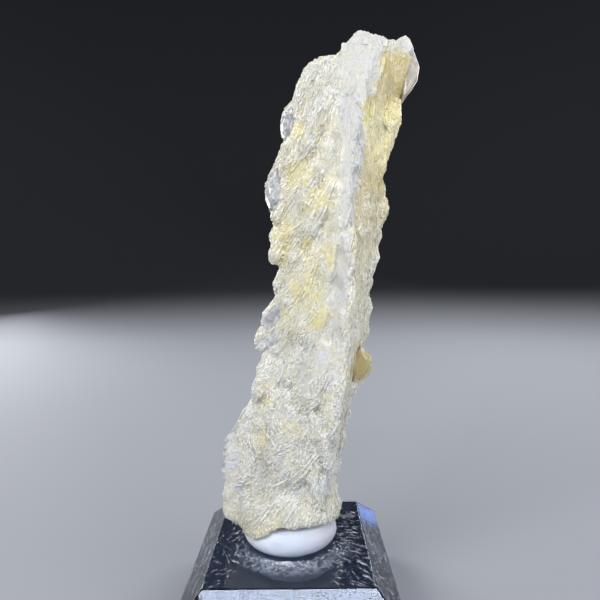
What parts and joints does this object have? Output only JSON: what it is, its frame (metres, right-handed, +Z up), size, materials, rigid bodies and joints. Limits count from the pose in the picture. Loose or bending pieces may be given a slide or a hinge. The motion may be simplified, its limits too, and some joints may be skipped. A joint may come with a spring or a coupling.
{
  "type": "bladed quartz crystal on a clear display block",
  "caption": "Tall flat quartz crystal covered in leaning blades, held upright by white putty on a bevelled clear acrylic block.",
  "frame": {"origin": "centre of the block's underside, on the surface that it stands on", "axes": "+Z up, along the crystal's length; -Y towards the viewer, out of the crystal's broad front; +X to the viewer's right, the way the crystal's top leans"},
  "size_m": [0.0597, 0.0508, 0.1486],
  "materials": {
    "quartz": "milky quartz, finely ridged, glassy at the edges, stained pale yellow",
    "putty": "smooth white putty",
    "acrylic": "clear polished acrylic with bevelled top edges"
  },
  "bodies": {
    "root": {"quartz_crystal": "quartz", "putty": "putty", "acrylic_block": "acrylic"}
  },
  "joints": []
}
